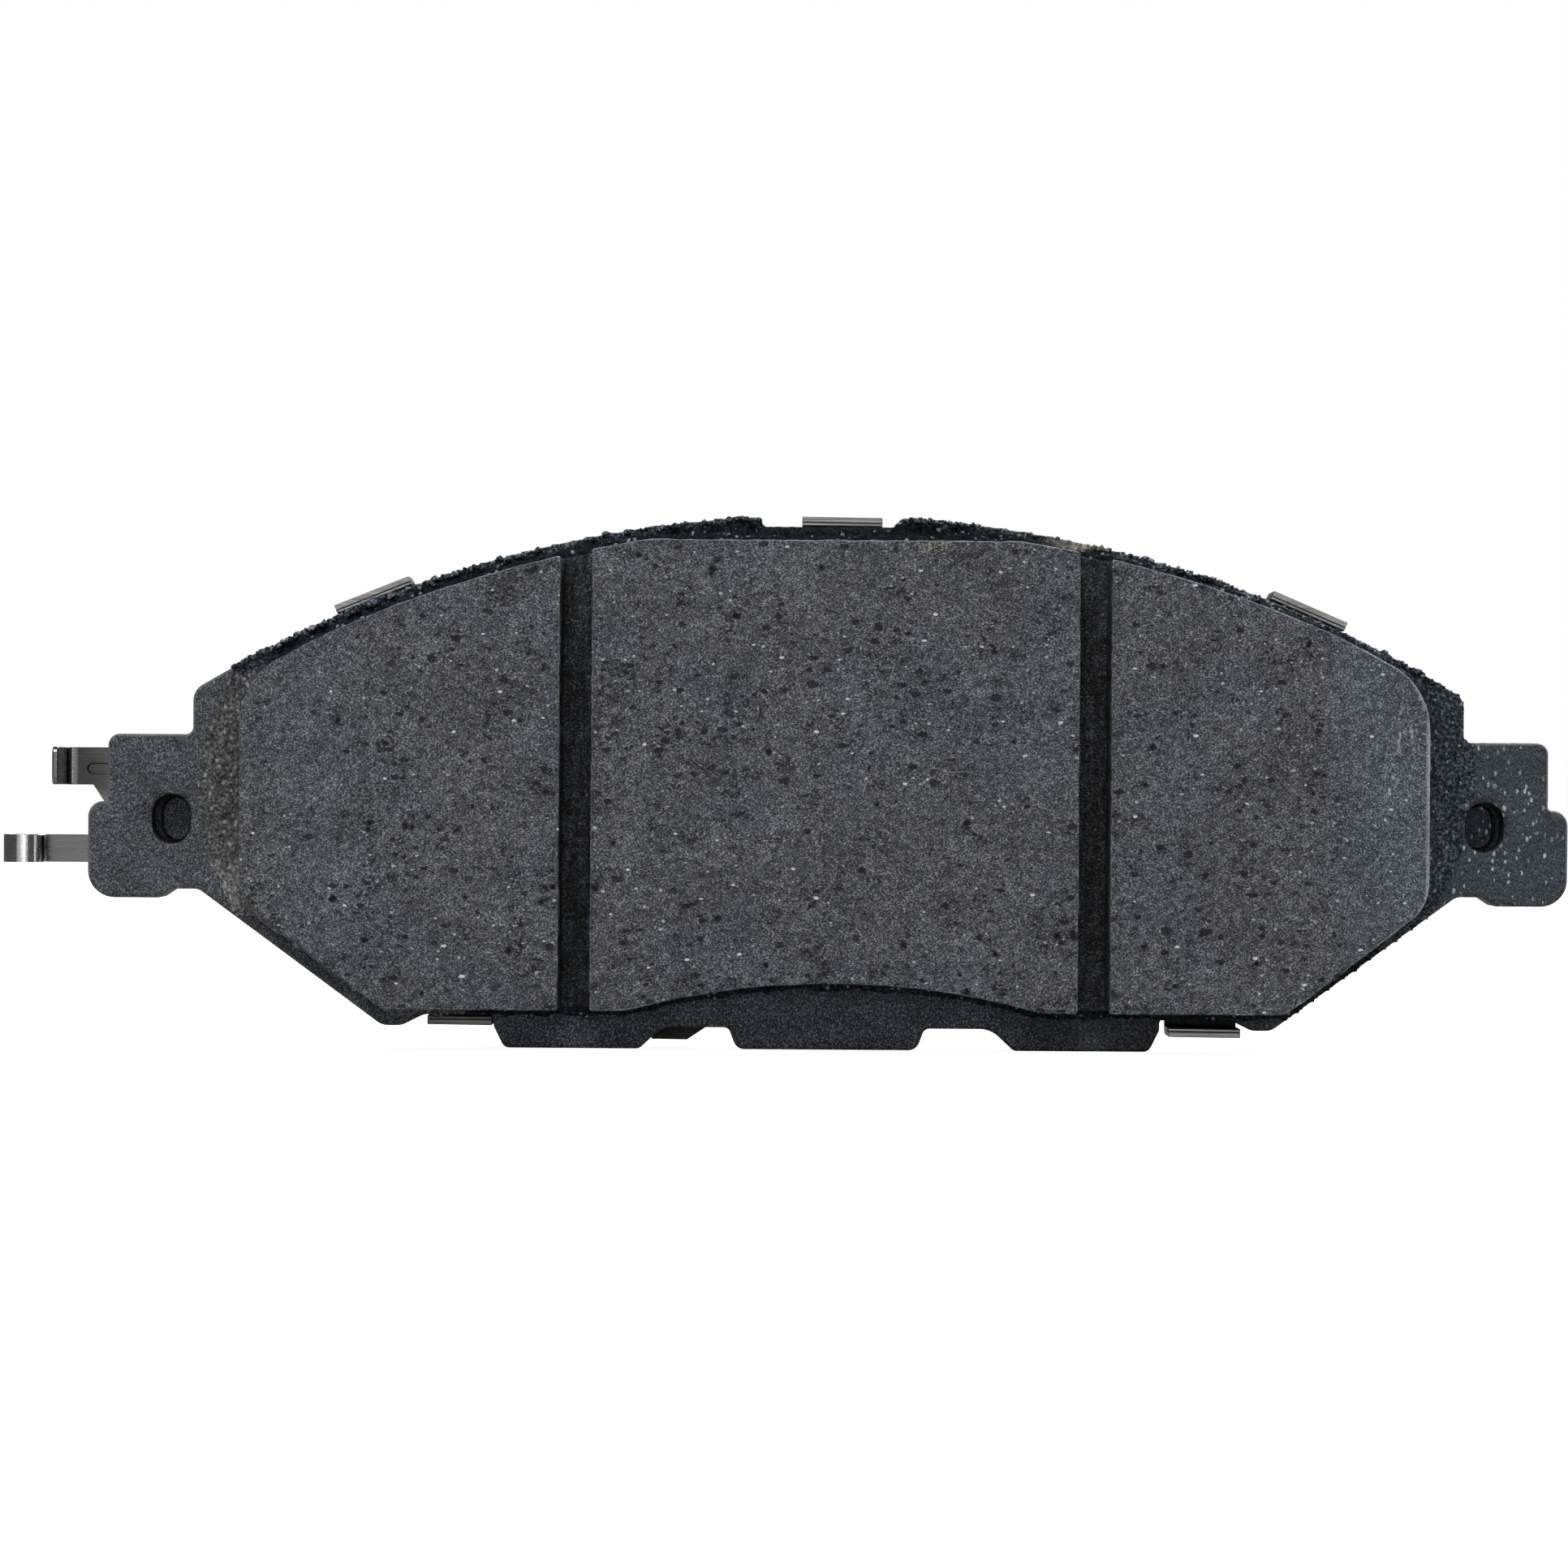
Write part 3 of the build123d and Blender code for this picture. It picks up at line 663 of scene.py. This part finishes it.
        # A little pale dust under the top edge, between the grooves.
        dust.append(max(0.0, 1 - math.hypot((mm.x - 11.6) / 2.4, (mm.z - 26.1) / 1.1)))
        warm.append(clamped((-58 - mm.x) / 5))
        if chamfer:
            fade = clamped((mm.x - block_high.x * 1000 + 13 + 0.12 * mm.z) / 5)
            moulded.append(fade if spot.x > 0 else 0.3)
        else:
            moulded.append(0.0 if front else 0.8)
    for vert, move in zip(shape.verts, moves):
        if vert.co.y < block_high.y - 0.01 * MM:
            vert.co += move
            vert.co.y = max(vert.co.y, face_y)
    made = as_piece(shape, "moulded_block", "pad", "friction_block")
    paint(made.data, ground=ground, recess=recess, dent=dent, moulded=moulded,
          scuff=scuff, dust=dust, warm=warm, edge=edge)
    return made


def coated_plate():
    """The backing plate with its rolled front rim, sheared edges and painted shade on the oval
    walls.
    """
    shape = merged_copy("backing_plate")
    flats = lambda face: face.normal.y > 0.9
    slice_along(shape, 0, steps(plate_low.x, plate_high.x, plate_pitch), flats)
    slice_along(shape, 2, steps(plate_low.z, plate_high.z, plate_pitch), flats)
    depths = [plate_front + depth * MM for depth in (0.55, 2.2, 2.6)]
    slice_along(shape, 1, depths, flats)
    # The slug at the bottom of each oval has its outer side a little further in.
    for vert in shape.verts:
        side = math.copysign(1, vert.co.x)
        across = abs(vert.co.x) / MM - oval_x
        up = vert.co.z / MM - oval_z
        in_slug = abs(across) < 1.85 and abs(up) < 2.45
        if in_slug and plate_front + 2.7 * MM < vert.co.y < plate_front + 3.45 * MM:
            vert.co.x -= side * 0.55 * MM * clamped((across + 1.8) / 3.6)
    shape.normal_update()
    hollow, rim, sheared, speckled, lift = [], [], [], [], []
    for vert in shape.verts:
        mm = vert.co * 1000
        depth = (vert.co.y - plate_front) / MM
        in_oval = math.hypot((abs(mm.x) - oval_x) / oval_half_width,
                             (mm.z - oval_z) / oval_half_height) < 1
        in_key_hole = abs(mm.x) < 52 and -9 < mm.z < 9
        on_side = abs(vert.normal.y) < 0.5 and not in_oval
        on_wall = in_oval and depth > 0.1 and abs(vert.normal.y) < 0.9
        # Painted shade on the oval walls, growing over the first half millimetre in.
        hollow.append(min(1.0, depth / 0.5) if on_wall else 0.0)
        # Painted highlight on the rolled front rim, left off where it faces down.
        rolled = 0.15 < -vert.normal.y < 0.9 and depth < 0.5 and not in_oval and not in_key_hole
        rim.append(1.0 if rolled and vert.normal.z > -0.2 else 0.0)
        sheared.append(1.0 if on_side and 2.3 < depth < 5.7 else 0.0)
        speckled.append(clamped((mm.x - 50) / 15))
        # Painted fill light on the lugs below the block.
        lift.append(clamped((-22 - mm.z) / 3) if mm.x < 22 else 0.0)
    made = as_piece(shape, "coated_plate", "pad", "backing_plate", sharp=40)
    paint(made.data, hollow=hollow, rim=rim, sheared=sheared, speckled=speckled, lift=lift)
    return made


def crumbly_layer():
    """The underlayer: a ragged lip round the block, thin flash on the plate and loose crumbs."""
    draw = random.Random(11)
    shape = merged_copy("underlayer")
    hidden = lambda face: face.normal.y > 0.9 or face.calc_center_median().y > plate_front
    slice_along(shape, 0, steps(layer_low.x, layer_high.x, lip_pitch), hidden)
    slice_along(shape, 2, steps(layer_low.z, layer_high.z, lip_pitch), hidden)
    slice_along(shape, 1, steps(layer_low.y + 0.45 * MM, plate_front - 0.2 * MM, 0.45 * MM),
                hidden)
    block = merged_copy("friction_block")
    block_walls = BVHTree.FromBMesh(block)
    block.free()
    plate = merged_copy("backing_plate")
    plate_skin = BVHTree.FromBMesh(plate)
    plate.free()
    wall_y = block_high.y - 0.4 * MM

    def from_block(x, z):
        """Distance from the block's outline, and the way out from it."""
        spot = Vector((x, wall_y, z))
        near = block_walls.find_nearest(spot)[0]
        out = Vector((x - near.x, 0, z - near.z))
        return out.length, out.normalized()

    for vert in shape.verts:
        spot = vert.co
        if spot.y > plate_front - 0.12 * MM or vert.normal.y > 0.5:
            continue
        away, way = from_block(spot.x, spot.z)
        if away < 0.25 * MM:
            continue
        mm = spot * 1000
        ragged = 0.5 * noise.noise(mm * 0.55) + 0.35 * noise.noise(mm * 1.6)
        forward = Vector((0, 0.4 * noise.noise(mm * 0.9 + Vector((9, 0, 0))), 0))
        spot += (way * ragged + forward) * MM * min(1, away / (0.8 * MM))

    skirt = bmesh.new()
    wide, high = 146 * MM, 58.4 * MM
    bmesh.ops.create_grid(skirt, x_segments=round(wide / flash_pitch),
                          y_segments=round(high / flash_pitch), size=0.5)
    upright = Matrix.Rotation(math.radians(90), 3, "X")
    bmesh.ops.rotate(skirt, verts=skirt.verts, matrix=upright)
    bmesh.ops.scale(skirt, verts=skirt.verts, vec=(wide, 1, high))
    bmesh.ops.translate(skirt, verts=skirt.verts, vec=(0.5 * MM, plate_front, 1.1 * MM))

    def flash_at(x, z):
        """Thickness of the flash at a place on the plate, in millimetres, or nothing."""
        before, backwards = Vector((x, -0.05, z)), Vector((0, 1, 0))
        if block_walls.ray_cast(before, backwards)[0]:
            return None
        hit = plate_skin.ray_cast(before, backwards)[0]
        if not hit or hit.y > plate_front + 0.42 * MM:
            return None
        away, way = from_block(x, z)
        away *= 1000
        mm = Vector((x * 1000, 0, z * 1000))
        rag = noise.noise(mm * 0.5) + 0.5 * noise.noise(mm * 1.3)
        on_right_ear = mm.x > 64 and -15 < mm.z < 11
        on_left_ear = mm.x < -62 and -15 < mm.z < 12.5
        below = way.z < -0.95
        if on_right_ear:
            bare = mm.x > 71.9 - 0.0165 * (mm.z - 3) ** 2 + 0.3 * rag
        elif on_left_ear:
            bare = mm.x < -69.8 + 0.02 * (mm.z + 1) ** 2 - 0.5 * rag
        elif below:
            bare = away > 0.55 + 0.3 * rag
        else:
            bare = way.z < 0 and away > (2.2 if mm.x > 0 else 0.8) + 0.6 * rag
        if bare:
            return None
        lumps = max(0, noise.noise(mm * 1.1 + Vector((0, 5, 0))))
        if on_right_ear:
            return 0.2 + 0.06 * rag + 0.25 * math.exp(-away / 0.5)
        rise = 0.28 + 0.22 * clamped(way.z * 1.4 + 0.1)
        if mm.x < -62 and mm.z < 12:
            rise = 0.12
        return rise * (0.5 + 1.6 * lumps) + 0.7 * math.exp(-away / 0.5)

    uncovered = []
    for face in skirt.faces:
        centre = face.calc_center_median()
        if flash_at(centre.x, centre.z) is None:
            uncovered.append(face)
    bmesh.ops.delete(skirt, geom=uncovered, context="FACES")
    rim = [vert for vert in skirt.verts if vert.is_boundary]
    bmesh.ops.smooth_vert(skirt, verts=rim, factor=0.5, use_axis_x=True, use_axis_z=True)
    raised = bmesh.ops.extrude_face_region(skirt, geom=skirt.faces[:])["geom"]
    for vert in raised:
        if isinstance(vert, bmesh.types.BMVert):
            mm = vert.co * 1000
            thick = flash_at(vert.co.x, vert.co.z) or 0.12
            vert.co.y -= thick * MM
            vert.co.x += 0.12 * MM * noise.noise(mm * 2)
            vert.co.z += 0.12 * MM * noise.noise(mm * 2 + Vector((0, 0, 7)))
    bmesh.ops.translate(skirt, verts=skirt.verts, vec=(0, 0.02 * MM, 0))
    bmesh.ops.recalc_face_normals(skirt, faces=skirt.faces)
    joined = bpy.data.meshes.new("flash")
    skirt.to_mesh(joined)
    skirt.free()
    shape.from_mesh(joined)
    bpy.data.meshes.remove(joined)

    crumbs = []
    while len(crumbs) < crumb_count:
        x = draw.uniform(-69, 71.5) * MM
        z = draw.uniform(-26, 30) * MM
        if draw.random() < 0.62 and abs(x) < 66 * MM:
            crown_z = crown_centre.z + math.sqrt(crown_radius ** 2 - x ** 2)
            z = crown_z + draw.uniform(-0.5, 0.12) * MM
        thick = flash_at(x, z)
        if thick is None or z > plate_high.z - 0.35 * MM and abs(x) < 9 * MM:
            continue
        if z < -8 * MM and x < 0 and draw.random() < 0.7:
            continue
        if noise.noise(Vector((x, 0, z)) * 130) < -0.05 and draw.random() < 0.85:
            continue
        if x > 64.5 * MM and -14 * MM < z < 11 * MM and draw.random() < 0.9:
            continue
        crumbs.append((x, z, thick * MM, (0.12 + 0.3 * draw.random() ** 2) * MM))
    for x, z, thick, size in crumbs:
        rock = bmesh.ops.create_icosphere(shape, subdivisions=1, radius=size)["verts"]
        for vert in rock:
            vert.co *= draw.uniform(0.75, 1.2)
        bmesh.ops.scale(shape, verts=rock, vec=(draw.uniform(0.8, 1.5), draw.uniform(0.6, 1), 1))
        bmesh.ops.translate(shape, verts=rock, vec=(x, plate_front - thick - 0.3 * size, z))
    # No crumb stands above the whole pad.
    for vert in shape.verts:
        vert.co.z = min(vert.co.z, cad_box[1][2])
    made = as_piece(shape, "crumbly_layer", "pad", "underlayer", sharp=60)
    warm, pale, close, outer, lift = [], [], [], [], []
    for vert in made.data.vertices:
        mm = vert.co * 1000
        away, way = from_block(vert.co.x, vert.co.z)
        away *= 1000
        on_crown = way.z > 0.3 and abs(mm.x) < 62
        rim_gap = crown_radius * 1000 - math.hypot(mm.x, mm.z - crown_centre.z * 1000)
        # On the crown, the flash's own darker colour near the block; below the block, painted
        # shadow.
        if on_crown:
            close.append(clamped(rim_gap / 0.5 - 0.6 + 0.8 * noise.noise(mm * 0.8)))
        elif mm.x < -60:
            close.append(0.0)
        else:
            close.append(0.75 if mm.z < -5 and -45 < mm.x < 62 else 0.1)
        # Painted highlight on the crown's outer edge.
        outer.append(clamped(1 - rim_gap / 0.7) if on_crown else 0.0)
        warm.append(1.0 if mm.x < -62 and mm.z < 12 or mm.x < -40 and mm.z < 0 else 0.0)
        # Pale crumbs above the right groove.
        by_groove = max(0.0, 1 - abs(mm.x - 28.5) / 5) if mm.z > 26.2 else 0.0
        pale.append(by_groove * (0.5 + 0.5 * noise.noise(mm * 1.5)))
        # Painted fill light on the shaded lower left flash.
        lift.append(1.0 if mm.x < -40 and mm.z < -9 else 0.0)
    paint(made.data, warm=warm, pale=pale, lift=lift, near=close, outer=outer)
    return made


def rounded_sheet(name, piece_name, body, edge_round):
    """A sheet metal node with its cut edges slightly rounded."""
    shape = merged_copy(name)
    rims = [edge for edge in shape.edges if edge.calc_face_angle(0) > math.radians(50)]
    bmesh.ops.bevel(shape, geom=rims, offset=edge_round, segments=1, profile=0.5,
                    affect="EDGES", material=-1, clamp_overlap=True)
    spring = name == "wear_indicator"
    if spring:
        left_end = min(vert.co.x for vert in shape.verts)
        slice_along(shape, 0, steps(left_end, left_end + 8 * MM, 0.25 * MM), lambda face: False)
    made = as_piece(shape, piece_name, body, name)
    dull, polished = [], []
    for vert in made.data.vertices:
        mm = vert.co * 1000
        # Painted shade: a darker reflection on the spring finger's flat, shadow on the lower left
        # tab and dimmer reflections on the upper tabs.
        on_finger = mm.z > -1 and mm.x > -84.4
        left_foot_tab = mm.x < 0 and mm.z < -24
        upper_tab = mm.z > 15 and mm.y < 2.9
        if spring:
            dull.append(clamped((-80.5 - mm.x) / 2) if on_finger else 0.0)
        elif left_foot_tab:
            dull.append(1.0)
        elif upper_tab:
            dull.append(0.5 if mm.x < 14 else 0.35)
        else:
            dull.append(0.0)
        # Painted highlight: two bright bands across the curled nose.
        on_nose = spring and mm.z < -3 and vert.co.y < plate_high.y
        in_band = -90.4 < mm.x < -89.1 or -88.5 < mm.x < -87.9
        polished.append(1.0 if on_nose and in_band else 0.0)
    paint(made.data, dull=dull, polished=polished)
    return made


# ---- camera ----
def aim_camera():
    """A camera square on to the backing plate, half a metre in front of it."""
    lens = bpy.data.cameras.new("pad_camera")
    camera = bpy.data.objects.new("pad_camera", lens)
    bpy.context.scene.collection.objects.link(camera)
    distance = 500 * MM
    frame_width = 174.1 * MM
    lens.sensor_width = 36
    lens.lens = lens.sensor_width * distance / frame_width
    lens.clip_start = 0.05
    camera.location = (-4.9 * MM, plate_front - distance, 0)
    camera.rotation_euler = (math.radians(90), math.radians(-0.39), 0)
    bpy.context.scene.camera = camera


# ---- studio ----
def floor():
    """A wide pale floor under the pad's lugs."""
    mesh = bpy.data.meshes.new("studio_floor")
    plane = bmesh.new()
    bmesh.ops.create_grid(plane, x_segments=1, y_segments=1, size=3)
    bmesh.ops.translate(plane, verts=plane.verts, vec=(0, 0, plate_low.z))
    plane.to_mesh(mesh)
    plane.free()
    made = bpy.data.objects.new("studio_floor", mesh)
    bpy.context.scene.collection.objects.link(made)
    pale, tree, shader = new_material("studio_floor", Roughness=0.9)
    shader["Base Color"].default_value = (0.5, 0.5, 0.5, 1)
    shader["Emission Color"].default_value = (1, 1, 1, 1)
    path = put(tree, "LightPath").outputs["Is Camera Ray"]
    tree.links.new(math_of(tree, "MULTIPLY", path, 0.92), shader["Emission Strength"])
    finish(made, pale)
    return made


def soft_light(name, place, width, height, power):
    """A panel light that faces the pad."""
    data = bpy.data.lights.new(name, "AREA")
    data.shape = "RECTANGLE"
    data.size = width
    data.size_y = height
    data.energy = power
    made = bpy.data.objects.new(name, data)
    made.location = place
    made.rotation_euler = (-Vector(place)).to_track_quat("-Z", "Y").to_euler()
    bpy.context.scene.collection.objects.link(made)


def white_surround(strength):
    """A white backdrop that lights the pad gently from all round."""
    world = bpy.data.worlds.new("studio")
    bpy.context.scene.world = world
    world.use_nodes = True
    tree = world.node_tree
    background = tree.nodes["Background"]
    path = tree.nodes.new("ShaderNodeLightPath")
    level = tree.nodes.new("ShaderNodeMapRange")
    level.inputs["To Min"].default_value = strength
    level.inputs["To Max"].default_value = 1.0
    tree.links.new(path.outputs["Is Camera Ray"], level.inputs["Value"])
    tree.links.new(level.outputs["Result"], background.inputs["Strength"])
    background.inputs["Color"].default_value = (1, 1, 1, 1)


aim_camera()
floor()
white_surround(0.2)
soft_light("high_panel", (-0.2, -0.5, 0.9), 0.7, 0.6, 11)
soft_light("front_strip", (-0.05, -1.3, 0.25), 0.35, 0.9, 4)
soft_light("right_strip", (0.9, -0.3, 0.1), 0.3, 0.8, 1.8)
soft_light("rear_panel", (0.3, 1.0, 0.7), 0.7, 0.7, 12)
bpy.context.scene.view_settings.view_transform = "Standard"

finish(moulded_block(), friction_mix())
finish(coated_plate(), plate_coat())
finish(crumbly_layer(), crumbly_mix())
finish(node["bond_film"], cured_resin())
coating = rubber_coating()
finish(node["inner_shim_front_coating"], coating)
finish(node["inner_shim_back_coating"], coating)
finish(rounded_sheet("inner_shim_core", "inner_shim_sheet", "shim_pack", 0.04 * MM),
       rolled_steel("inner_sheet_steel", 0.22, 0.42, 7.0, 0.38))
finish(rounded_sheet("outer_shim", "outer_shim_sheet", "shim_pack", 0.06 * MM),
       rolled_steel("stainless_sheet", 0.26, 0.44, 7.0, 0.42))
finish(rounded_sheet("wear_indicator", "wear_spring", "pad", 0.06 * MM),
       rolled_steel("spring_steel", 0.1, 0.2, 8.0, 0.2))
